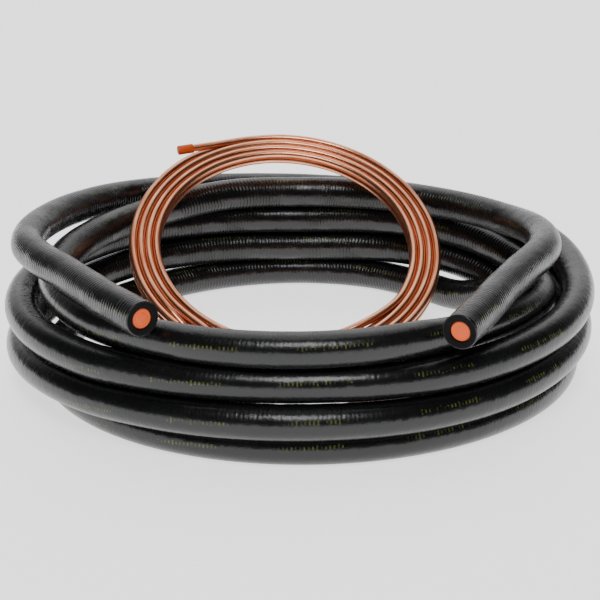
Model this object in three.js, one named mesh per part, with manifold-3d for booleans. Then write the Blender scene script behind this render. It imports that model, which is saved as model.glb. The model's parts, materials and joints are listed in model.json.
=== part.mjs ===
// Mini split line set: a coil of insulated suction line and a smaller coil of bare liquid line.
// Millimetres, +Z up. The coils lie on z = 0, with the middle of the whole part over the origin.

import * as THREE from 'three';
import { mergeVertices } from 'three/addons/utils/BufferGeometryUtils.js';
import Module from 'manifold-3d';

const wasm = await Module();
wasm.setup();

// Suction line: 3/4 in copper tube in a foam sleeve with a 3/8 in wall
const SUCTION_OD = 19.05;
const SUCTION_WALL = 0.9;
const FOAM_WALL = 9.1;
const SLIP_GAP = 0.425;
const SLEEVE_OD = SUCTION_OD + 2 * (SLIP_GAP + FOAM_WALL);

// Lay of the suction coil
const COIL_RADIUS = 305;
const TURN_GAP = 1;
const TURN_PITCH = SLEEVE_OD + TURN_GAP;
const STRAIGHT_END = 74;
const SUCTION_STEPS = 146;
const SLEEVE_SIDES = 12;
const TUBE_SIDES = 8;
const DIVISIONS_PER_STOP = 60;
const END_STEP = 0.0005;

// Caps pushed over the tube ends
const CAP_WALL = 1.2;
const CAP_LENGTH = 20;
const CAP_END = 1.8;
const CAP_FIT = 0.3;
const CAP_ROUND = 1.4;
const CAP_ROUND_STEPS = 3;
const CAP_RECESS = 1.5;
const CAP_SIDES = 24;

// Liquid line: 3/8 in bare copper tube, wound in turns side by side and in layers
const LIQUID_OD = 9.525;
const LIQUID_WALL = 0.8;
const LIQUID_RADIUS = 172.7;
const LIQUID_COLUMNS = 4;
const LIQUID_LAYERS = 2;
const WINDING_GAP = 0.075;
const WINDING_PITCH = LIQUID_OD + WINDING_GAP;
const WINDING_SEGMENTS = 40;
const LIQUID_CAP_WALL = 0.9;
const LIQUID_CAP_SIDES = 16;
const LIQUID_BORE_DEPTH = 40;
const OUTER_END_STRAIGHT = 85;
const INNER_END_STRAIGHT = 26;
const FREE_END_STEPS = 10;
const GROOVE_ANGLE = 20;
const RIDGE_STEP = 48;

// Where the liquid coil leans: its front edge on the floor, its back on the suction coil
const LEAN_X = -18;
const LEAN_FRONT = 38;
const LEAN_ROLL = 3.9;
const LEAN_LEAST = 8;
const LEAN_MOST = 75;
const LEAN_ROUNDS = 14;
const LEAN_SAMPLES = 584;
const REST_GAP = 0.6;
const FLOOR_GAP = 0.1;

// How far a cutter starts outside an end, its sides, and how near two corners are one
const CUT_OVERLAP = 1;
const CUTTER_SIDES = 12;
const MERGE_DISTANCE = 1e-4;

const COPPER = new THREE.MeshStandardMaterial({ color: 0xc4764f, roughness: 0.3, metalness: 1 });
const BLACK_FOAM = new THREE.MeshStandardMaterial({ color: 0x1b1d1e, roughness: 0.5, metalness: 0 });
const ORANGE = new THREE.MeshStandardMaterial({ color: 0xf2641e, roughness: 0.5, metalness: 0 });

// The suction line's way, followed clockwise as seen from above. Each stop is the angle in degrees
// from +X, then how far the centre of the line lies outside the coil's radius and how high it lies
// above the bottom row, both counted in pitches of the turns, so thicker foam spreads the coil.
const FIRST_TURN = [
  [230, 0.27, 3.59], [222, -0.04, 3.59], [210, -0.22, 3.57], [198, -0.03, 3.54], [186, 0.25, 3.5],
  [160, 0.32, 3.33], [137, 0.49, 3.11], [115, 0.72, 2.82], [90, 0.8, 2.62], [60, 0.86, 2.5],
  [40, 0.84, 2.42], [20, 0.65, 2.33], [0, 0.48, 2.18], [-30, 0.47, 2.02], [-60, 0.4, 1.9],
  [-75, 0.27, 1.87], [-90, 0.14, 1.83], [-120, 0.35, 1.82],
];
const SECOND_TURN = [
  [-135, 0.48, 1.79], [-180, 0.47, 1.8], [-225, 0.03, 1.98], [-250, -0.34, 2], [-270, -0.44, 1.95],
  [-295, -0.17, 1.99], [-315, 0, 1.85], [-335, 0.22, 1.49], [-360, 0.4, 1.16], [-390, 0.44, 1],
  [-420, 0.45, 0.89], [-450, 0.46, 0.88], [-480, 0.47, 0.83],
];
const THIRD_TURN = [
  [-495, 0.48, 0.75], [-540, 0.47, 0.6], [-585, -0.05, 0.97], [-610, -0.26, 1], [-630, -0.34, 0.95],
  [-655, -0.1, 0.99], [-675, 0.06, 0.85], [-705, 0.155, 0.1], [-720, 0.09, 0], [-765, 0, 0],
  [-810, 0, 0], [-840, -0.08, 0],
];
const RISING_TURN = [
  [-900, -0.47, 0], [-945, -0.39, 0], [-970, -0.13, 0], [-990, 0, 0], [-1008, -0.15, 0],
  [-1024, -0.54, 0], [-1038, -0.86, 0.12], [-1052, -0.9, 0.7], [-1066, -0.8, 1.45],
  [-1080, -0.68, 1.98], [-1100, -0.61, 2.33], [-1114, -0.56, 2.45], [-1126, -0.46, 2.54],
  [-1138, -0.22, 2.68], [-1146, 0.04, 2.83], [-1155, 0.23, 2.88], [-1165, 0.28, 2.86],
  [-1178, 0.29, 2.84],
];
const TOP_TURN = [
  [-1190, 0.25, 2.83], [-1197, 0.14, 2.8], [-1204, 0, 2.7], [-1212, -0.17, 2.59],
  [-1222, -0.31, 2.54], [-1235, -0.43, 2.53], [-1260, -0.54, 2.54], [-1305, -0.7, 2.72],
  [-1330, -0.74, 2.93], [-1350, -0.725, 2.91], [-1380, -0.57, 2.93], [-1410, -0.49, 3.03],
  [-1430, -0.53, 3.3], [-1449, -0.57, 3.5], [-1467, -0.7, 3.54], [-1480, -0.44, 3.5],
  [-1487, -0.08, 3.48], [-1492, 0.27, 3.44],
];

// The liquid line's two free ends, in the same three columns about their own coil: one leaves the
// outermost turn at the back, the other is tucked inside the innermost turn at the front
const OUTER_FREE_END = [[92, 0, 0], [100, 0, 0.01], [108, 0.02, 0.08]];
const INNER_FREE_END = [[-38, 0, 0], [-50, -0.3, 0], [-62, -0.9, 0], [-72, -1.3, 0], [-80, -1.38, 0]];

const radians = THREE.MathUtils.degToRad;

// A smooth curve through stops of angle, outward shift and height about a coil's axis
class CoilLay extends THREE.Curve {
  constructor(stops, radius, pitch, baseHeight) {
    super();
    this.stops = stops;
    this.radius = radius;
    this.pitch = pitch;
    this.baseHeight = baseHeight;
    this.arcLengthDivisions = DIVISIONS_PER_STOP * stops.length;
  }

  // Slope of one column of the stops against the angle
  slope(index, column) {
    const before = this.stops[Math.max(index - 1, 0)];
    const after = this.stops[Math.min(index + 1, this.stops.length - 1)];
    return (after[column] - before[column]) / (after[0] - before[0]);
  }

  getPoint(t, target = new THREE.Vector3()) {
    const place = t * (this.stops.length - 1);
    const index = Math.min(Math.floor(place), this.stops.length - 2);
    const u = place - index;
    const from = this.stops[index];
    const to = this.stops[index + 1];
    const span = to[0] - from[0];
    const blend = (column) => {
      const rise = to[column] - from[column];
      const leave = this.slope(index, column) * span;
      const arrive = this.slope(index + 1, column) * span;
      return from[column] + u * leave + u * u * (3 * rise - 2 * leave - arrive)
        + u * u * u * (leave + arrive - 2 * rise);
    };
    const angle = radians(from[0] + u * span);
    const reach = this.radius + this.pitch * blend(1);
    const height = this.baseHeight + this.pitch * blend(2);
    return target.set(reach * Math.cos(angle), reach * Math.sin(angle), height);
  }
}

// The lay with straight runs added at one or both of its ends
function withStraightEnds(lay, startLength, endLength) {
  const path = new THREE.CurvePath();
  const start = lay.getPoint(0);
  const end = lay.getPoint(1);
  const back = start.clone().sub(lay.getPoint(END_STEP)).setLength(startLength);
  const ahead = end.clone().sub(lay.getPoint(1 - END_STEP)).setLength(endLength);
  if (startLength > 0) path.add(new THREE.LineCurve3(start.clone().add(back), start));
  path.add(lay);
  if (endLength > 0) path.add(new THREE.LineCurve3(end, end.clone().add(ahead)));
  return path;
}

function ringOfPoints(radius, sides) {
  const points = [];
  for (let side = 0; side < sides; side += 1) {
    const angle = (2 * Math.PI * (side + 0.5)) / sides;
    points.push(new THREE.Vector2(radius * Math.cos(angle), radius * Math.sin(angle)));
  }
  return points;
}

// From the radius of a faceted circle's corners to the middle of its flats
const flatRadius = (radius, sides) => radius * Math.cos(Math.PI / sides);

// A tube along a path, hollow if it has a bore. The bore's radius is taken at the middle of its flats.
function sweptTube(path, steps, outerRadius, outerSides, boreRadius = 0) {
  const section = new THREE.Shape(ringOfPoints(outerRadius, outerSides));
  if (boreRadius > 0) {
    const corner = boreRadius / flatRadius(1, TUBE_SIDES);
    section.holes.push(new THREE.Path(ringOfPoints(corner, TUBE_SIDES)));
  }
  return new THREE.ExtrudeGeometry(section, { steps, bevelEnabled: false, extrudePath: path });
}

function toSolid(geometry) {
  const bare = geometry.clone();
  bare.deleteAttribute('normal');
  bare.deleteAttribute('uv');
  const merged = mergeVertices(bare, MERGE_DISTANCE);
  return new wasm.Manifold(new wasm.Mesh({
    numProp: 3,
    vertProperties: merged.attributes.position.array,
    triVerts: Uint32Array.from(merged.index.array),
  }));
}

function toGeometry(solid) {
  const mesh = solid.getMesh();
  const geometry = new THREE.BufferGeometry();
  geometry.setAttribute('position', new THREE.BufferAttribute(mesh.vertProperties, 3));
  geometry.setIndex(new THREE.BufferAttribute(mesh.triVerts, 1));
  return geometry;
}

// A plug that reaches a depth into an end, to cut it back or to bore it out
function plug(end, radius, depth, sides) {
  const length = depth + CUT_OVERLAP;
  const cylinder = new THREE.CylinderGeometry(radius, radius, length, sides);
  cylinder.translate(0, length / 2 - CUT_OVERLAP, 0);
  return toSolid(alongAxis(cylinder, end.point, end.inward));
}

// Turns a shape made along +Y to lie along a direction from a point
function alongAxis(geometry, point, direction) {
  const turn = new THREE.Quaternion().setFromUnitVectors(new THREE.Vector3(0, 1, 0), direction);
  geometry.applyQuaternion(turn);
  geometry.translate(point.x, point.y, point.z);
  return geometry;
}

// Both ends of a path, each with its point and the direction back into the tube
function endsOf(path) {
  return [0, 1].map((t) => {
    const point = path.getPointAt(t);
    const inside = path.getPointAt(Math.abs(t - END_STEP));
    return { point, inward: inside.sub(point).normalize() };
  });
}

// A cap: a flat end with a rounded rim, and a skirt that slips over the tube
function capGeometry(tubeRadius, wall, segments) {
  const bore = tubeRadius + CAP_FIT;
  const outer = bore + wall;
  const rim = Math.min(CAP_ROUND, outer / 2);
  const profile = [new THREE.Vector2(0, 0)];
  for (let step = 0; step <= CAP_ROUND_STEPS; step += 1) {
    const angle = (Math.PI / 2) * (step / CAP_ROUND_STEPS);
    profile.push(new THREE.Vector2(outer - rim + rim * Math.sin(angle), rim - rim * Math.cos(angle)));
  }
  profile.push(new THREE.Vector2(outer, CAP_LENGTH));
  profile.push(new THREE.Vector2(bore, CAP_LENGTH));
  profile.push(new THREE.Vector2(bore, CAP_END));
  profile.push(new THREE.Vector2(0, CAP_END));
  return new THREE.LatheGeometry(profile, segments);
}

const part = new THREE.Group();

function addPiece(name, geometry, material, parent = part) {
  const mesh = new THREE.Mesh(geometry, material);
  mesh.name = name;
  parent.add(mesh);
  return mesh;
}

// Suction line
const suctionStops = [...FIRST_TURN, ...SECOND_TURN, ...THIRD_TURN, ...RISING_TURN, ...TOP_TURN];
const suctionLay = new CoilLay(suctionStops, COIL_RADIUS, TURN_PITCH, SLEEVE_OD / 2);
const suctionPath = withStraightEnds(suctionLay, STRAIGHT_END, STRAIGHT_END);
const suctionEnds = endsOf(suctionPath);
const suctionCapRadius = SUCTION_OD / 2 + CAP_FIT + CAP_WALL;
const sleeveBore = SUCTION_OD / 2 + SLIP_GAP;
const suctionBore = flatRadius(SUCTION_OD / 2, TUBE_SIDES) - SUCTION_WALL;
const seatDepth = CAP_RECESS + CAP_LENGTH + CAP_FIT;
const suctionCutBack = CAP_RECESS + CAP_END + CAP_FIT;

let sleeve = toSolid(
  sweptTube(suctionPath, SUCTION_STEPS, SLEEVE_OD / 2, SLEEVE_SIDES, sleeveBore),
);
let suctionTube = toSolid(
  sweptTube(suctionPath, SUCTION_STEPS, SUCTION_OD / 2, TUBE_SIDES, suctionBore),
);
for (const end of suctionEnds) {
  sleeve = sleeve.subtract(plug(end, suctionCapRadius + CAP_FIT, seatDepth, CAP_SIDES));
  suctionTube = suctionTube.subtract(plug(end, SLEEVE_OD / 2, suctionCutBack, CUTTER_SIDES));
}
addPiece('insulation_sleeve', toGeometry(sleeve), BLACK_FOAM);
addPiece('suction_tube', toGeometry(suctionTube), COPPER);
for (const [index, end] of suctionEnds.entries()) {
  const seat = end.point.clone().addScaledVector(end.inward, CAP_RECESS);
  const cap = alongAxis(capGeometry(SUCTION_OD / 2, CAP_WALL, CAP_SIDES), seat, end.inward);
  addPiece(`suction_cap_${'ab'[index]}`, cap, ORANGE);
}

// Liquid line: the winding is one turned solid whose turns show as ridges, with its bore as its eye
const lastColumn = LIQUID_COLUMNS - 1;
const lastLayer = LIQUID_LAYERS - 1;
const outerTurn = LIQUID_RADIUS + (lastColumn / 2) * WINDING_PITCH;
const innerTurn = LIQUID_RADIUS - (lastColumn / 2) * WINDING_PITCH;
const topLayer = (lastLayer / 2) * WINDING_PITCH;

// The outline round all the turns: each turn on the outside shows as an arc, with a groove between
function windingOutline() {
  const side = LIQUID_LAYERS > 1 ? 90 - GROOVE_ANGLE : -GROOVE_ANGLE / 2;
  const points = [];
  const ridge = (column, layer, from, to) => {
    const across = innerTurn + column * WINDING_PITCH;
    const up = layer * WINDING_PITCH - topLayer;
    const steps = Math.ceil((to - from) / RIDGE_STEP);
    for (let step = 0; step <= steps; step += 1) {
      const angle = radians(from + ((to - from) * step) / steps);
      const reach = LIQUID_OD / 2;
      points.push(new THREE.Vector2(across + reach * Math.cos(angle), up + reach * Math.sin(angle)));
    }
  };
  for (let column = 0; column <= lastColumn; column += 1) {
    const from = column === 0 ? 180 - side : 180 + GROOVE_ANGLE;
    const to = column === lastColumn ? 360 + side : 360 - GROOVE_ANGLE;
    ridge(column, 0, from, to);
  }
  for (let layer = 1; layer < lastLayer; layer += 1) ridge(lastColumn, layer, -side, side);
  for (let column = lastColumn; column >= 0; column -= 1) {
    const from = column === lastColumn ? -side : GROOVE_ANGLE;
    const to = column === 0 ? 180 + side : 180 - GROOVE_ANGLE;
    ridge(column, lastLayer, from, to);
  }
  for (let layer = lastLayer - 1; layer > 0; layer -= 1) ridge(0, layer, 180 - side, 180 + side);
  points.push(points[0].clone());
  return points;
}

const winding = new THREE.LatheGeometry(windingOutline(), WINDING_SEGMENTS);
winding.rotateX(Math.PI / 2);
let liquidTube = toSolid(winding);

const liquidBore = LIQUID_OD / 2 - LIQUID_WALL;
const freeLay = new CoilLay(OUTER_FREE_END, outerTurn, WINDING_PITCH, topLayer);
const tuckedLay = new CoilLay(INNER_FREE_END, innerTurn, WINDING_PITCH, -topLayer);
const freePath = withStraightEnds(freeLay, 0, OUTER_END_STRAIGHT);
const tuckedPath = withStraightEnds(tuckedLay, 0, INNER_END_STRAIGHT);
const liquidEnds = [];
for (const path of [freePath, tuckedPath]) {
  const end = endsOf(path)[1];
  liquidTube = liquidTube.add(toSolid(sweptTube(path, FREE_END_STEPS, LIQUID_OD / 2, TUBE_SIDES)));
  liquidTube = liquidTube.subtract(plug(end, LIQUID_OD, CAP_END + CAP_FIT, CUTTER_SIDES));
  liquidTube = liquidTube.subtract(plug(end, liquidBore, LIQUID_BORE_DEPTH, TUBE_SIDES));
  liquidEnds.push(end);
}

// Distance from a point to the winding's section, as the coil's own frame sees it
function windingDistance(point) {
  const across = Math.abs(Math.hypot(point.x, point.y) - LIQUID_RADIUS) - (lastColumn / 2) * WINDING_PITCH;
  const up = Math.abs(point.z) - topLayer;
  return Math.hypot(Math.max(across, 0), Math.max(up, 0)) - LIQUID_OD / 2;
}

// The liquid coil stands on its front edge and leans back by a tilt
function leanPose(tilt) {
  const turn = new THREE.Euler(radians(tilt), radians(LEAN_ROLL), 0, 'XYZ');
  const axis = new THREE.Vector3(0, 0, 1).applyEuler(turn);
  const slant = Math.sqrt(1 - axis.z * axis.z);
  const height = outerTurn * slant + topLayer * axis.z + LIQUID_OD / 2 + FLOOR_GAP;
  const depth = outerTurn * Math.cos(radians(tilt)) - LEAN_FRONT;
  const place = new THREE.Vector3(LEAN_X, depth, height);
  return { turn, place, matrix: new THREE.Matrix4().makeRotationFromEuler(turn).setPosition(place) };
}

// The least tilt at which the liquid coil's back clears the suction coil that carries it
function restingTilt() {
  const samples = suctionPath.getSpacedPoints(LEAN_SAMPLES);
  const clears = (tilt) => {
    const inverse = leanPose(tilt).matrix.invert();
    return samples.every((sample) => {
      const distance = windingDistance(sample.clone().applyMatrix4(inverse));
      return distance >= SLEEVE_OD / 2 + REST_GAP;
    });
  };
  let low = LEAN_LEAST;
  let high = LEAN_MOST;
  for (let round = 0; round < LEAN_ROUNDS; round += 1) {
    const halfway = (low + high) / 2;
    if (clears(halfway)) high = halfway;
    else low = halfway;
  }
  return high;
}

const lean = leanPose(restingTilt());
const liquidCoil = new THREE.Group();
liquidCoil.rotation.copy(lean.turn);
liquidCoil.position.copy(lean.place);
part.add(liquidCoil);
addPiece('liquid_tube', toGeometry(liquidTube), COPPER, liquidCoil);
for (const [index, end] of liquidEnds.entries()) {
  const shape = capGeometry(LIQUID_OD / 2, LIQUID_CAP_WALL, LIQUID_CAP_SIDES);
  addPiece(`liquid_cap_${'ab'[index]}`, alongAxis(shape, end.point, end.inward), ORANGE, liquidCoil);
}

// The middle of the part's box goes over the origin, with its lowest point on the floor
const box = new THREE.Box3().setFromObject(part, true);
const middle = box.getCenter(new THREE.Vector3());
part.position.set(-middle.x, -middle.y, -box.min.z);

export default part;
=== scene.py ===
# %% [markdown]
# # A line set for a mini split air conditioner
#
# Two coils of soft copper tube. The big one wears a black foam sleeve and lies flat in loose turns.
# The small one is bare and leans in the eye of the big one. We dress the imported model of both:
# the sleeve gets its wrinkled skin and the small coil gets its separate turns.

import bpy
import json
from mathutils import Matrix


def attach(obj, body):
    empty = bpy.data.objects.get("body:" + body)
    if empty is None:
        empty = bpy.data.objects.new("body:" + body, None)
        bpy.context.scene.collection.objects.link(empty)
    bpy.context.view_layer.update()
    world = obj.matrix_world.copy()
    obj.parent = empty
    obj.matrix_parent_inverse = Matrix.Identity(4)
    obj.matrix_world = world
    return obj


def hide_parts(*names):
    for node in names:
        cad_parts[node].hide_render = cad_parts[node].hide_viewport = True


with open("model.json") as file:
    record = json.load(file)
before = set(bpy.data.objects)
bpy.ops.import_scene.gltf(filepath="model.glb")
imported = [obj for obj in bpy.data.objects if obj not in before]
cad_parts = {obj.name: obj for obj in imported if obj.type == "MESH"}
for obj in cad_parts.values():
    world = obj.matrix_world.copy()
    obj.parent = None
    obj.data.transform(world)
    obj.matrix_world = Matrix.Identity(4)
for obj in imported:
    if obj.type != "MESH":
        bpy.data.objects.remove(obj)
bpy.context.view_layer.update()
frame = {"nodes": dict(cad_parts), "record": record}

# %% Modules
import json
import math

import bmesh
import bpy
import numpy as np
from mathutils import Matrix, Vector

# %% [markdown]
# ## Where the lines lie
#
# A coiled line is a curve, so we follow it by its angle about the coil's axis. Each stop gives the
# angle in degrees, how far outside the coil's radius the line runs, and how high above the bottom row,
# both in pitches of the turns. A smooth curve through the stops is easier to correct by eye than a
# cloud of points, and it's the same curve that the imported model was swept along.

# %% The suction line's stops
COIL_RADIUS = 0.305
SLEEVE_RADIUS = 0.01905
TURN_PITCH = 0.0391
STRAIGHT_END = 0.074
CAP_RECESS = 0.0015

SUCTION_STOPS = [
    (230, 0.27, 3.59), (222, -0.04, 3.59), (210, -0.22, 3.57), (198, -0.03, 3.54), (186, 0.25, 3.5),
    (160, 0.32, 3.33), (137, 0.49, 3.11), (115, 0.72, 2.82), (90, 0.8, 2.62), (60, 0.86, 2.5),
    (40, 0.84, 2.42), (20, 0.65, 2.33), (0, 0.48, 2.18), (-30, 0.47, 2.02), (-60, 0.4, 1.9),
    (-75, 0.27, 1.87), (-90, 0.14, 1.83), (-120, 0.35, 1.82), (-135, 0.48, 1.79),
    (-180, 0.47, 1.8), (-225, 0.03, 1.98), (-250, -0.34, 2), (-270, -0.44, 1.95),
    (-295, -0.17, 1.99), (-315, 0, 1.85), (-335, 0.22, 1.49), (-360, 0.4, 1.16), (-390, 0.44, 1),
    (-420, 0.45, 0.89), (-450, 0.46, 0.88), (-480, 0.47, 0.83), (-495, 0.48, 0.75),
    (-540, 0.47, 0.6), (-585, -0.05, 0.97), (-610, -0.26, 1), (-630, -0.34, 0.95),
    (-655, -0.1, 0.99), (-675, 0.06, 0.85), (-705, 0.155, 0.1), (-720, 0.09, 0), (-765, 0, 0),
    (-810, 0, 0), (-840, -0.08, 0), (-900, -0.47, 0), (-945, -0.39, 0), (-970, -0.13, 0),
    (-990, 0, 0), (-1008, -0.15, 0), (-1024, -0.54, 0), (-1038, -0.86, 0.12), (-1052, -0.9, 0.7),
    (-1066, -0.8, 1.45), (-1080, -0.68, 1.98), (-1100, -0.61, 2.33), (-1114, -0.56, 2.45),
    (-1126, -0.46, 2.54), (-1138, -0.22, 2.68), (-1146, 0.04, 2.83), (-1155, 0.23, 2.88),
    (-1165, 0.28, 2.86), (-1178, 0.29, 2.84), (-1190, 0.25, 2.83), (-1197, 0.14, 2.8),
    (-1204, 0, 2.7), (-1212, -0.17, 2.59), (-1222, -0.31, 2.54), (-1235, -0.43, 2.53),
    (-1260, -0.54, 2.54), (-1305, -0.7, 2.72), (-1330, -0.74, 2.93), (-1350, -0.725, 2.91),
    (-1380, -0.57, 2.93), (-1410, -0.49, 3.03), (-1430, -0.53, 3.3), (-1449, -0.57, 3.5),
    (-1467, -0.7, 3.54), (-1480, -0.44, 3.5), (-1487, -0.08, 3.48), (-1492, 0.27, 3.44),
]

# %% A smooth curve through stops
POINTS_PER_STOP = 60


def column_slope(stops, index, column):
    """Slope of one column of the stops against the angle."""
    before = stops[max(index - 1, 0)]
    after = stops[min(index + 1, len(stops) - 1)]
    return (after[column] - before[column]) / (after[0] - before[0])


def follow_stops(stops, radius, pitch, base_height):
    """Points of the line through the stops, about the Z axis."""
    points = []
    for index in range(len(stops) - 1):
        start, end = np.array(stops[index], float), np.array(stops[index + 1], float)
        u = np.linspace(0, 1, POINTS_PER_STOP, endpoint=index == len(stops) - 2)
        span = end[0] - start[0]
        columns = []
        for column in (1, 2):
            rise = end[column] - start[column]
            leave = column_slope(stops, index, column) * span
            arrive = column_slope(stops, index + 1, column) * span
            columns.append(start[column] + u * leave + u * u * (3 * rise - 2 * leave - arrive)
                           + u ** 3 * (leave + arrive - 2 * rise))
        angle = np.radians(start[0] + u * span)
        reach = radius + pitch * columns[0]
        height = base_height + pitch * columns[1]
        points.append(np.column_stack([reach * np.cos(angle), reach * np.sin(angle), height]))
    return np.vstack(points)


def add_straight_ends(points, start_length, end_length):
    """The line with straight runs added at its two ends."""
    back = points[0] - points[1]
    ahead = points[-1] - points[-2]
    start = points[0] + back / np.linalg.norm(back) * start_length
    end = points[-1] + ahead / np.linalg.norm(ahead) * end_length
    return np.vstack([start, points, end])


def even_points(points, step):
    """The same line with its points spaced evenly, and each one's distance along it."""
    lengths = np.linalg.norm(np.diff(points, axis=0), axis=1)
    along = np.concatenate([[0], np.cumsum(lengths)])
    keep = np.concatenate([[True], lengths > 1e-9])
    stations = np.linspace(0, along[-1], int(round(along[-1] / step)) + 1)
    columns = [np.interp(stations, along[keep], points[keep, axis]) for axis in range(3)]
    return np.column_stack(columns), stations


# %% The suction line's route
SLEEVE_STEP = 0.0039

suction_points = follow_stops(SUCTION_STOPS, COIL_RADIUS, TURN_PITCH, SLEEVE_RADIUS)
suction_points = add_straight_ends(suction_points, STRAIGHT_END, STRAIGHT_END)
suction_line, suction_along = even_points(suction_points, SLEEVE_STEP)
suction_length = float(suction_along[-1])
print(f"suction line {suction_length:.3f} m in {len(suction_line)} stations")

# %% [markdown]
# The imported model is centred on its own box, so its coil's axis isn't quite at the origin. The record
# says where cap A's flat end is, and the route says where it should be, so their difference is the
# shift between the two.

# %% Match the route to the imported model
mounts = {mount["name"]: mount for mount in frame["record"]["mounts"]}
inward = suction_line[1] - suction_line[0]
cap_face = suction_line[0] + inward / np.linalg.norm(inward) * CAP_RECESS
coil_shift = np.array(mounts["suction_end_a"]["pos_m"]) - cap_face
suction_line = suction_line + coil_shift
print("coil axis at", np.round(coil_shift * 1000, 2), "mm")

# %% [markdown]
# ## Camera
#
# The photograph was taken with a long lens from a little above. The camera stands at the distance
# where the coil's rows and its two ends line up with the photograph, and looks down by the angle that
# puts the back rows just above the front ones.

# %% Camera
CAMERA_BACK = 2.24546
CAMERA_HEIGHT = 0.83427
LOOK_DOWN = 18.613
LENS = 120.69

camera_data = bpy.data.cameras.new("camera")
camera_data.lens = LENS
camera_data.sensor_width = 36
camera = bpy.data.objects.new("camera", camera_data)
camera.location = Vector((0, -CAMERA_BACK, CAMERA_HEIGHT)) + Vector(coil_shift)
camera.rotation_euler = (math.radians(90 - LOOK_DOWN), 0, 0)
bpy.context.scene.collection.objects.link(camera)
bpy.context.scene.camera = camera
print("camera at", [round(value, 3) for value in camera.location])

# %% [markdown]
# ## Shader maths
#
# A material's pattern is arithmetic on values such as the distance along a line. Wiring Math nodes by
# hand hides that arithmetic, so one small class wraps a socket and turns Python's operators into nodes.

# %% A class for shader maths


class Signal:
    """A socket's value that can be used in Python expressions."""

    def __init__(self, tree, socket):
        self.tree = tree
        self.socket = socket

    def math(self, operation, *others, clamp=False):
        values = [self, *others]
        return self.node("ShaderNodeMath", {"operation": operation, "use_clamp": clamp}, values)

    def node(self, kind, settings, inputs, output=0):
        """Adds a node, sets it, feeds its sockets and returns one of its outputs."""
        made = self.tree.nodes.new(kind)
        for name, value in settings.items():
            setattr(made, name, value)
        pairs = inputs.items() if isinstance(inputs, dict) else enumerate(inputs)
        for key, value in pairs:
            if isinstance(value, Signal):
                self.tree.links.new(value.socket, made.inputs[key])
            else:
                made.inputs[key].default_value = value
        return Signal(self.tree, made.outputs[output])

    def __add__(self, other):
        return self.math("ADD", other)

    def __radd__(self, other):
        return self.math("ADD", other)

    def __sub__(self, other):
        return self.math("SUBTRACT", other)

    def __rsub__(self, other):
        return self.node("ShaderNodeMath", {"operation": "SUBTRACT"}, [other, self])

    def __mul__(self, other):
        return self.math("MULTIPLY", other)

    def sine(self):
        return self.math("SINE")

    def cosine(self):
        return self.math("COSINE")

    def below(self, edge):
        return self.math("LESS_THAN", edge)

    def size(self):
        return self.math("ABSOLUTE")

    def repeat(self, period):
        return self.math("FLOORED_MODULO", period)

    def clamped(self):
        return self.math("ADD", 0.0, clamp=True)

    def ramp(self, low, high):
        """0 below low and 1 above high, with soft ends."""
        settings = {"interpolation_type": "SMOOTHSTEP"}
        return self.node("ShaderNodeMapRange", settings, {"Value": self, "From Min": low, "From Max": high})

    def mix(self, first, second):
        """A colour between two colours, by this signal."""
        settings = {"data_type": "RGBA"}
        return self.node("ShaderNodeMix", settings, {0: self, 6: first, 7: second}, output=2)


# %% Starting a material
TURN = 2 * math.pi


def new_material(name, **uniform):
    """A material with its shader, and the uniform numbers set on the shader's own sockets."""
    material = bpy.data.materials.new(name)
    material.use_nodes = True
    shader = material.node_tree.nodes["Principled BSDF"]
    for socket, value in uniform.items():
        shader.inputs[socket.replace("_", " ")].default_value = value
    return material, shader


def source(material, kind, output, settings=None):
    """A signal from a node that needs no inputs."""
    start = Signal(material.node_tree, None)
    return start.node(kind, settings or {}, {}, output=output)


def feed(material, shader, **signals):
    """Links signals to the shader's sockets."""
    for socket, signal in signals.items():
        material.node_tree.links.new(signal.socket, shader.inputs[socket.replace("_", " ")])


def noise(signal_vector, scale, detail=2.0, roughness=0.5):
    """Smooth noise from 0 to 1 on a vector."""
    inputs = {"Vector": signal_vector, "Scale": scale, "Detail": detail, "Roughness": roughness}
    return signal_vector.node("ShaderNodeTexNoise", {}, inputs)


def bump(height, distance):
    """A normal from a height in metres times a distance."""
    return height.node("ShaderNodeBump", {}, {"Strength": 1.0, "Distance": distance, "Height": height},
                       output="Normal")


# %% [markdown]
# A swept line carries its own UV map: U is the distance along it in metres and V goes once round it.
# V jumps from 1 to 0 at the seam, so patterns use the sine and cosine of that angle instead.

# %% Coordinates on a swept line


def line_coordinates(material):
    """Distance along the line and the angle round it."""
    uv = source(material, "ShaderNodeUVMap", 0, {"uv_map": "line"})
    along = uv.node("ShaderNodeSeparateXYZ", {}, [uv], output=0)
    round_it = uv.node("ShaderNodeSeparateXYZ", {}, [uv], output=1) * TURN
    return along, round_it


def line_vector(along, round_it, along_scale, round_scale):
    """A seamless vector, stretched along and round the line."""
    across = round_it.cosine() * round_scale
    up = round_it.sine() * round_scale
    return along.node("ShaderNodeCombineXYZ", {}, [along * along_scale, across, up])


# %% [markdown]
# ## The sleeve's skin
#
# The sleeve is closed-cell foam with a smooth black skin. Where the line bends, the skin on the inside
# of the bend is pushed together into fine cross wrinkles, and along the outside it's nearly smooth.
# Near both ends they run all the way round. They are a few millimetres apart over more than nine metres,
# too many for geometry, so the broad dents are in the mesh and the fine wrinkles are bump. A plain row
# of ticks, in groups, runs along the skin.

# %% Sleeve material
WRINKLE_PITCH = 0.0046
BUNCHED_FULLY = 0.3
BUNCHED_UNTIL = 0.75
GROUP_PITCH = 0.131
GROUP_LENGTH = 0.074
TICK_PITCH = 0.0042
TICK_LINE = -0.26
TICK_SWING = 0.8
SWING_START = 1.7
TURNS_PER_METRE = 0.518
INK_COLOUR = (0.16, 0.175, 0.025, 1)


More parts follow.
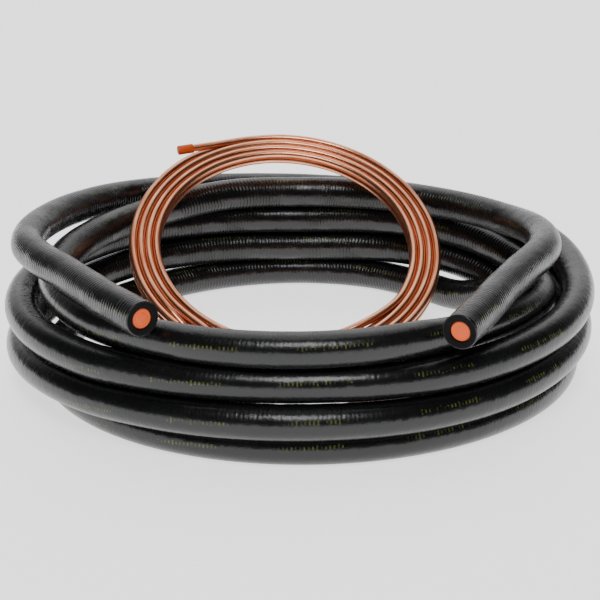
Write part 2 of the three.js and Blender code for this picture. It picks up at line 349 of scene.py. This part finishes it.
def sleeve_material():
    material, shader = new_material("foam_skin", Specular_IOR_Level=0.55)
    along, round_it = line_coordinates(material)

    broad = noise(line_vector(along, round_it, 9.0, 0.35), 1.0)
    patchy = noise(line_vector(along, round_it, 24.0, 0.8), 1.0)
    fine = noise(line_vector(along, round_it, 160.0, 2.6), 1.0, detail=3.0)

    # Inside of the bend is where the cosine is -1
    inside = (0.5 - round_it.cosine() * 0.62 + round_it.sine() * 0.12).clamped()
    warp = (broad - 0.5) * 5.0 + round_it.sine() * (patchy - 0.35) * 3.2
    wave = (along * (TURN / WRINKLE_PITCH) + warp * 2.6).sine()
    creases = wave.ramp(-0.9, 0.9) * (patchy.ramp(0.34, 0.62) * 0.85 + 0.15)
    from_end = suction_length / 2 - (along - suction_length / 2).size()
    bunched = from_end.ramp(BUNCHED_UNTIL, BUNCHED_FULLY) * 0.5
    wrinkles = creases * (inside * inside * 0.9 + 0.06 + bunched).clamped()
    height = wrinkles * 1.3 + fine * 0.7 + patchy * 0.9

    # The line of ticks wanders slowly round the sleeve
    swing = ((along - SWING_START) * (TURN * TURNS_PER_METRE)).cosine() * TICK_SWING
    from_line = (round_it - TICK_LINE - swing).sine().size()
    tick = (along.repeat(TICK_PITCH)).below(TICK_PITCH * 0.4)
    tall = (along.repeat(TICK_PITCH * 5)).below(TICK_PITCH * 0.4)
    in_line = from_line.below(0.09) + tall * from_line.below(0.15)
    in_group = (along.repeat(GROUP_PITCH)).below(GROUP_LENGTH)
    ink = (tick * in_line * in_group).clamped() * (fine.ramp(0.36, 0.62) * 0.55)

    black = (patchy * 0.7 + fine * 0.3).mix((0.0025, 0.0027, 0.003, 1), (0.007, 0.0074, 0.008, 1))
    feed(material, shader, Base_Color=ink.mix(black, INK_COLOUR),
         Roughness=0.16 + patchy * 0.13 + fine * 0.08, Normal=bump(height, 0.0006))
    return material


foam_skin = sleeve_material()
print("made", foam_skin.name)

# %% [markdown]
# At the ends the saw has opened the foam's cells, so the cut is dull and jet black. It has no line to
# follow, so its cells are noise on Object coordinates.

# %% Cut foam material
CELL_SCALE = 900.0


def cut_foam_material():
    material, shader = new_material("foam_cut", Roughness=0.95, Specular_IOR_Level=0.2)
    place = source(material, "ShaderNodeTexCoord", 3)
    cells = noise(place, CELL_SCALE, detail=3.0, roughness=0.6)
    feed(material, shader, Base_Color=cells.mix((0.0025, 0.0026, 0.0028, 1), (0.012, 0.012, 0.013, 1)),
         Normal=bump(cells, 0.0004))
    return material


foam_cut = cut_foam_material()
print("made", foam_cut.name)

# %% [markdown]
# ## Copper
#
# Soft copper is drawn through a die, so its marks run along the tube. It has been handled: pale peach
# where it's bright and red-brown where it has begun to tarnish, in long streaks.

# %% Copper material


def copper_material():
    material, shader = new_material("drawn_copper", Metallic=1.0)
    along, round_it = line_coordinates(material)
    streaks = noise(line_vector(along, round_it, 2.2, 2.4), 1.0, detail=4.0, roughness=0.6)
    drawn = noise(line_vector(along, round_it, 1.2, 11.0), 1.0, detail=3.0)
    blots = noise(line_vector(along, round_it, 26.0, 1.1), 1.0, detail=3.0)
    tarnish = (streaks * 0.62 + blots * 0.38).ramp(0.36, 0.64)
    colour = tarnish.mix((0.95, 0.47, 0.29, 1), (0.56, 0.17, 0.08, 1))
    feed(material, shader, Base_Color=colour, Roughness=0.17 + drawn * 0.16 + blots * 0.06,
         Normal=bump(drawn, 0.00006))
    return material


def plain_copper_material():
    """The same copper for the tube that the sleeve hides, which has no UV map of its own."""
    material, shader = new_material("sleeved_copper", Metallic=1.0)
    place = source(material, "ShaderNodeTexCoord", 3)
    tarnish = noise(place, 60.0, detail=3.0)
    feed(material, shader, Base_Color=tarnish.mix((0.93, 0.56, 0.4, 1), (0.74, 0.31, 0.17, 1)),
         Roughness=0.2 + tarnish * 0.15)
    return material


drawn_copper = copper_material()
sleeved_copper = plain_copper_material()
print("made", drawn_copper.name, sleeved_copper.name)

# %% [markdown]
# ## Orange plastic
#
# The caps are soft moulded plastic: even in colour, a little mottled, with a light grain.

# %% Orange plastic material


def orange_material():
    material, shader = new_material("orange_plastic", Specular_IOR_Level=0.45)
    place = source(material, "ShaderNodeTexCoord", 3)
    mottle = noise(place, 260.0, detail=2.0)
    grain = noise(place, 2600.0, detail=2.0)
    feed(material, shader, Base_Color=mottle.mix((0.86, 0.09, 0.008, 1), (0.98, 0.15, 0.018, 1)),
         Roughness=0.42 + mottle * 0.14, Normal=bump(grain, 0.00005))
    return material


orange_plastic = orange_material()
print("made", orange_plastic.name)

# %% [markdown]
# ## Sweeping a line
#
# A swept tube is a grid rolled up: one side of the grid follows the line and the other goes round it.
# `create_grid` makes the faces, then each corner moves to its place and the two long edges are merged.
# Each station has its own distance along the line and its own radius, so the same grid also turns in
# at the ends and closes there.

# %% Frames along a line


def line_frames(line):
    """The direction of the line at each point, and the directions outward from the coil and up."""
    ahead = np.gradient(line, axis=0)
    ahead /= np.linalg.norm(ahead, axis=1, keepdims=True)
    outward = np.cross((0.0, 0.0, 1.0), ahead)
    outward /= np.linalg.norm(outward, axis=1, keepdims=True)
    return outward, np.cross(ahead, outward)


# %% Sweep a tube
MERGE_DISTANCE = 1e-6


def sweep(name, line, along, stations, sides, dents=None, end_faces=0):
    """A closed tube along a line. stations are pairs of distance and radius; dents shape its skin."""
    outward, up = line_frames(line)
    places, radii = np.array(stations).T
    centre, outward, up = [
        np.column_stack([np.interp(places, along, column) for column in part.T])
        for part in (line, outward, up)
    ]
    bm = bmesh.new()
    bmesh.ops.create_grid(bm, x_segments=len(stations) - 1, y_segments=sides, size=0.5)
    mesh = bpy.data.meshes.new(name)
    bm.to_mesh(mesh)
    bm.free()

    flat = np.empty(len(mesh.vertices) * 3)
    mesh.vertices.foreach_get("co", flat)
    station = np.rint((flat[0::3] + 0.5) * (len(stations) - 1)).astype(int)
    share = np.rint((flat[1::3] + 0.5) * sides) / sides
    angle = TURN * share
    radius = radii[station]
    if dents is not None:
        radius = radius + dents(places[station], angle) * (radius > 0.98 * radii.max())
    spread = radius * np.cos(angle)
    lift = radius * np.sin(angle)
    co = centre[station] + outward[station] * spread[:, None] + up[station] * lift[:, None]
    mesh.vertices.foreach_set("co", co.ravel())

    corners = np.empty(len(mesh.loops), int)
    mesh.loops.foreach_get("vertex_index", corners)
    uv = mesh.uv_layers.new(name="line")
    uv.data.foreach_set("uv", np.column_stack([places[station[corners]], share[corners]]).ravel())

    if end_faces:
        first = station[corners].reshape(-1, 4).min(axis=1)
        cut = (first < end_faces) | (first >= len(stations) - 1 - end_faces)
        mesh.polygons.foreach_set("material_index", cut.astype(int))
    return close_mesh(mesh)


def close_mesh(mesh):
    """Merges doubled corners, turns the faces outward and smooths them."""
    bm = bmesh.new()
    bm.from_mesh(mesh)
    bmesh.ops.remove_doubles(bm, verts=bm.verts, dist=MERGE_DISTANCE)
    bmesh.ops.recalc_face_normals(bm, faces=bm.faces)
    for face in bm.faces:
        face.smooth = True
    bm.to_mesh(mesh)
    bm.free()
    return mesh


def finish_piece(mesh, materials, body, slot, *nodes):
    """Puts a mesh in the scene as a piece that rides on a body and stands for CAD nodes."""
    for material in materials:
        mesh.materials.append(material)
    piece = bpy.data.objects.new(mesh.name, mesh)
    bpy.context.scene.collection.objects.link(piece)
    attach(piece, body)
    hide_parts(*nodes)
    triangles = sum(len(polygon.vertices) - 2 for polygon in mesh.polygons)
    print(f"{mesh.name}: {triangles} triangles")


# %% [markdown]
# ## The insulated suction line
#
# The sleeve's skin runs round a slightly rounded edge onto the cut end, and into the recess where the
# cap sits. Its broad dents come from a small table of seeded random depths, blended smoothly. Away from
# the floor and the ends the skin also stands half a millimetre proud, so neighbouring turns nearly touch.

# %% Dents in the skin
DENT_SPACING = 0.011
DENT_DEPTH = 0.00042
DENT_COLUMNS = 7


def smooth_table(table, row, column):
    """A smooth surface through a table of heights, closed in its columns."""
    row_index, column_index = np.floor(row).astype(int), np.floor(column).astype(int)
    row_share, column_share = row - row_index, column - column_index
    row_share = row_share * row_share * (3 - 2 * row_share)
    column_share = column_share * column_share * (3 - 2 * column_share)
    rows, columns = table.shape
    corner = [[table[(row_index + i) % rows, (column_index + j) % columns] for j in (0, 1)] for i in (0, 1)]
    near = corner[0][0] * (1 - column_share) + corner[0][1] * column_share
    far = corner[1][0] * (1 - column_share) + corner[1][1] * column_share
    return near * (1 - row_share) + far * row_share


dent_rows = int(suction_length / DENT_SPACING) + 2
dent_table = np.random.default_rng(11).uniform(-1, 1, (dent_rows, DENT_COLUMNS))
slow_table = np.random.default_rng(12).uniform(0, 1, (dent_rows, DENT_COLUMNS))


def skin_dents(places, angle):
    """How far the skin stands out of round: deepest on the inside of the bend."""
    column = angle / TURN * DENT_COLUMNS
    ripple = smooth_table(dent_table, places / DENT_SPACING, column)
    slow = smooth_table(slow_table, places / (9 * DENT_SPACING), column)
    inside = np.clip(0.5 - 0.6 * np.cos(angle) + 0.15 * np.sin(angle), 0.12, 1)
    return -DENT_DEPTH * inside * (0.5 + 0.5 * ripple) * (0.35 + 0.65 * slow)


# %% Sleeve
SLEEVE_SIDES = 40
RECESS_RADIUS = 0.011325
RECESS_DEPTH = 0.0218
EDGE_ROUND = 0.0011
EDGE_STEPS = 4
CUT_FACES = 5
SKIN_SWELL = 0.0005
SWELL_LENGTH = 0.03
SWELL_HEIGHT = 0.02


def end_stations():
    """From the bottom of the cap's recess, out over the cut face and round the edge."""
    stations = [(RECESS_DEPTH, 0.0), (RECESS_DEPTH, RECESS_RADIUS), (0.0006, RECESS_RADIUS),
                (0.0, RECESS_RADIUS + 0.0005), (0.0, SLEEVE_RADIUS - 2.2 * EDGE_ROUND)]
    for step in range(EDGE_STEPS):
        turn = math.pi / 2 * step / EDGE_STEPS
        stations.append((EDGE_ROUND * (1 - math.cos(turn)),
                         SLEEVE_RADIUS - EDGE_ROUND * (1 - math.sin(turn))))
    return stations


sleeve_start = end_stations()
sleeve_end = [(suction_length - place, radius) for place, radius in reversed(sleeve_start)]
skin_places = np.linspace(EDGE_ROUND, suction_length - EDGE_ROUND, len(suction_line) - 1)
from_ends = np.minimum(skin_places, suction_length - skin_places)
above_floor = np.interp(skin_places, suction_along, suction_line[:, 2]) - SLEEVE_RADIUS
swell = np.clip((from_ends - EDGE_ROUND) / SWELL_LENGTH, 0, 1) * np.clip(above_floor / SWELL_HEIGHT, 0, 1)
skin_radii = SLEEVE_RADIUS + SKIN_SWELL * swell
sleeve_middle = list(zip(skin_places, skin_radii))
sleeve_mesh = sweep("foam_sleeve", suction_line, suction_along,
                    sleeve_start + sleeve_middle + sleeve_end, SLEEVE_SIDES, skin_dents, CUT_FACES)
finish_piece(sleeve_mesh, [foam_skin, foam_cut], "root", "black_foam", "insulation_sleeve")

# %% [markdown]
# ## The bare liquid line
#
# The small coil is wound four turns across and two deep, and each turn is a real one here. The tube
# keeps its slot in the winding for most of a turn, then jogs into the next slot in a short stretch,
# one turn after another, so that every slot it moves into has just been left.

# %% The small coil's slots and jogs
LIQUID_RADIUS = 0.1727
WINDING_PITCH = 0.0096
TUBE_RADIUS = 0.0047625
FREE_END_ANGLE = 92
SLOTS = [(3, 1), (3, 0), (2, 0), (2, 1), (1, 1), (1, 0), (0, 0), (0, 1)]
JOG_STARTS = [-230, -206, -126, -110, -94, -78, -62]
JOG_SPANS = [22, 20, 16, 16, 16, 16, 16]
FREE_END = [(108, 0.02, 0.08), (100, 0.0, 0.01)]
TUCKED_END = [(-30, 0.0, 1.0), (-42, -0.42, 0.93), (-52, -0.82, 0.66), (-62, -1.1, 0.28),
              (-72, -1.32, 0.04), (-80, -1.38, 0.0)]
FREE_END_STRAIGHT = 0.085
TUCKED_END_STRAIGHT = 0.026
EVERY = 20
RISE = 0.035


def slot_stop(angle, column, layer):
    """A stop in a slot; the turns of the top layer stand up a little unevenly."""
    swell = 0.5 + 0.5 * math.sin(math.radians(angle) * 1.31 + column * 2.1)
    return (angle, column, layer + RISE * swell * layer)


def liquid_stops():
    """The winding's stops, with column and layer counted from the innermost slot of the lower layer."""
    stops = [(angle, 3 + column, 1 + layer) for angle, column, layer in FREE_END]
    angle = FREE_END_ANGLE
    for turn, (column, layer) in enumerate(SLOTS):
        offset = -360 * turn
        last = turn == len(SLOTS) - 1
        stop_at = (TUCKED_END[0][0] if last else JOG_STARTS[turn]) + offset
        while angle > stop_at + EVERY / 2:
            stops.append(slot_stop(angle, column, layer))
            angle -= EVERY
        if last:
            stops += [(tucked + offset, column + shift, height) for tucked, shift, height in TUCKED_END]
        else:
            stops.append(slot_stop(stop_at, column, layer))
            angle = stop_at - JOG_SPANS[turn]
    return stops


stops = liquid_stops()
inner_turn = LIQUID_RADIUS - 1.5 * WINDING_PITCH
liquid_points = follow_stops(stops, inner_turn, WINDING_PITCH, -0.5 * WINDING_PITCH)
liquid_points = add_straight_ends(liquid_points, FREE_END_STRAIGHT, TUCKED_END_STRAIGHT)
TUBE_STEP = 0.0045
liquid_local, liquid_along = even_points(liquid_points, TUBE_STEP)
print(f"liquid line {liquid_along[-1]:.3f} m, {len(stops)} stops")

# %% [markdown]
# The turns are shaped about their own coil's axis. The whole line then leans back as the real coil
# does, with its front edge on the floor and its back on the suction coil.

# %% Lean the small coil
LEAN_TILT = 30.3729
LEAN_ROLL = 3.9
LEAN_PLACE = (-0.018, 0.123421, 0.104232)

lean = (Matrix.Translation(Vector(LEAN_PLACE) + Vector(coil_shift))
        @ Matrix.Rotation(math.radians(LEAN_TILT), 4, "X")
        @ Matrix.Rotation(math.radians(LEAN_ROLL), 4, "Y"))

# %% Liquid line
TUBE_SIDES = 20
CAP_END = 0.0018
CAP_FIT = 0.0003

liquid_length = liquid_along[-1]
inside_cap = CAP_END + CAP_FIT
tube_places = np.linspace(inside_cap, liquid_length - inside_cap, len(liquid_local) - 1)
tube_stations = [(inside_cap, 0.0)] + [(place, TUBE_RADIUS) for place in tube_places]
tube_stations.append((liquid_length - inside_cap, 0.0))
liquid_mesh = sweep("liquid_line", liquid_local, liquid_along, tube_stations, TUBE_SIDES)
liquid_mesh.transform(lean)
finish_piece(liquid_mesh, [drawn_copper], "root", "copper", "liquid_tube")

# %% [markdown]
# ## Caps
#
# A cap is a round thing, so its outline is drawn once and spun. Its end is a low dome with a shallow
# ring pressed into it, and a rounded rim leads to the skirt that grips the tube.

# %% A spun cap
CAP_LENGTH = 0.02
CAP_ROUND = 0.0014
CAP_SEGMENTS = 64
DOME = 0.0005


def cap_outline(bore, outer):
    """Radius and depth of the cap's outline, from the middle of its face to the floor inside."""
    ring = 0.62 * outer
    rim = outer - CAP_ROUND
    outline = [(0, -DOME)]
    outline += [(share * ring, -DOME * (1 - share ** 2 * 0.5)) for share in (0.35, 0.65, 0.9)]
    outline += [(ring, -DOME * 0.3), (ring + 0.00035, -DOME * 0.2), (ring + 0.0008, -DOME * 0.45)]
    for step in range(7):
        turn = math.pi / 2 * step / 6
        outline.append((rim + CAP_ROUND * math.sin(turn), CAP_ROUND * (1 - math.cos(turn))))
    outline += [(outer, CAP_LENGTH - 0.0003), (outer - 0.0003, CAP_LENGTH), (bore, CAP_LENGTH)]
    return outline + [(bore, CAP_END), (0, CAP_END)]


def spun_cap(name, tube_radius, wall, mount):
    """A cap spun about Z, then turned to its mount, whose axis points out of the tube."""
    bore = tube_radius + CAP_FIT
    bm = bmesh.new()
    corners = [bm.verts.new((radius, 0, depth)) for radius, depth in cap_outline(bore, bore + wall)]
    edges = [bm.edges.new(pair) for pair in zip(corners, corners[1:])]
    bmesh.ops.spin(bm, geom=corners + edges, cent=(0, 0, 0), axis=(0, 0, 1), angle=TURN,
                   steps=CAP_SEGMENTS, use_merge=True)
    bmesh.ops.remove_doubles(bm, verts=bm.verts, dist=MERGE_DISTANCE)
    turn = Vector(mount["axis"]).to_track_quat("-Z", "Y").to_matrix().to_4x4()
    bmesh.ops.transform(bm, matrix=Matrix.Translation(Vector(mount["pos_m"])) @ turn, verts=bm.verts)
    mesh = bpy.data.meshes.new(name)
    bm.to_mesh(mesh)
    bm.free()
    return close_mesh(mesh)


# %% All four caps
CAPS = {
    "suction_cap_a": (0.009525, 0.0012, "suction_end_a"),
    "suction_cap_b": (0.009525, 0.0012, "suction_end_b"),
    "liquid_cap_a": (TUBE_RADIUS, 0.0009, "liquid_end_a"),
    "liquid_cap_b": (TUBE_RADIUS, 0.0009, "liquid_end_b"),
}
for node, (tube_radius, wall, mount_name) in CAPS.items():
    cap = spun_cap(node.replace("cap", "end_cap"), tube_radius, wall, mounts[mount_name])
    finish_piece(cap, [orange_plastic], "root", "orange_plastic", node)

# %% [markdown]
# ## The tube inside the sleeve
#
# Nothing of it shows, because the caps close the sleeve's ends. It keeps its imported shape.

# %% Suction tube
suction_tube = frame["nodes"]["suction_tube"]
suction_tube.data.materials.clear()
suction_tube.data.materials.append(sleeved_copper)
print("suction tube in", suction_tube.data.materials[0].name)

# %% [markdown]
# ## Studio
#
# The photograph is a cut-out on white, so a large pale floor fills the view. It renders as a pale grey.
# The floor also glows evenly, as a backlit sweep does. The black skin shows only what it mirrors. A soft
# light, high in front, draws the bright bands on the front rows. The world is white behind the coil and
# dark in front of it and at its sides: that turns the skin grey at its edges, and leaves it black between
# the bands.

# %% Floor
FLOOR_SIZE = 16.0
FLOOR_GLOW = 1.4


def floor_material():
    material, shader = new_material("pale_floor", Roughness=0.9, Specular_IOR_Level=0.1,
                                    Emission_Color=(1, 1, 1, 1), Emission_Strength=FLOOR_GLOW)
    place = source(material, "ShaderNodeTexCoord", 3)
    grain = noise(place, 3.0)
    feed(material, shader, Base_Color=grain.mix((0.92, 0.92, 0.92, 1), (0.94, 0.94, 0.94, 1)))
    return material


def make_floor():
    bm = bmesh.new()
    bmesh.ops.create_grid(bm, x_segments=4, y_segments=4, size=FLOOR_SIZE / 2)
    mesh = bpy.data.meshes.new("floor")
    bm.to_mesh(mesh)
    bm.free()
    mesh.materials.append(floor_material())
    floor = bpy.data.objects.new("floor", mesh)
    bpy.context.scene.collection.objects.link(floor)
    return floor


floor = make_floor()
print("floor", FLOOR_SIZE, "m")

# %% Lights
FRONT_LIGHT = {"height": 52, "side": 0, "spread": 24, "power": 1.2}
BACK_LIGHT = {"height": 66, "side": 180, "spread": 60, "power": 1.0}
WORLD_BACK = 1.3
WORLD_FRONT = 0.04
SIDE_SHADE = 0.75


def add_sun(name, height, side, spread, power):
    """A soft light from a height above the horizon, turned to one side of the front, in degrees."""
    data = bpy.data.lights.new(name, "SUN")
    data.energy = power
    data.angle = math.radians(spread)
    light = bpy.data.objects.new(name, data)
    light.rotation_euler = (math.radians(90 - height), 0, math.radians(side))
    bpy.context.scene.collection.objects.link(light)


add_sun("front_light", **FRONT_LIGHT)
add_sun("back_light", **BACK_LIGHT)

world = bpy.data.worlds.new("studio")
world.use_nodes = True
direction = Signal(world.node_tree, None).node("ShaderNodeTexCoord", {}, {}, output=0)
side = direction.node("ShaderNodeSeparateXYZ", {}, [direction], output=0)
depth = direction.node("ShaderNodeSeparateXYZ", {}, [direction], output=1)
brightness = (depth - side.size() * SIDE_SHADE).ramp(-0.1, 1.0) * (WORLD_BACK - WORLD_FRONT) + WORLD_FRONT
world.node_tree.links.new(brightness.socket, world.node_tree.nodes["Background"].inputs["Strength"])
world.node_tree.nodes["Background"].inputs["Color"].default_value = (1, 1, 1, 1)
bpy.context.scene.world = world
print("world from", WORLD_FRONT, "to", WORLD_BACK)
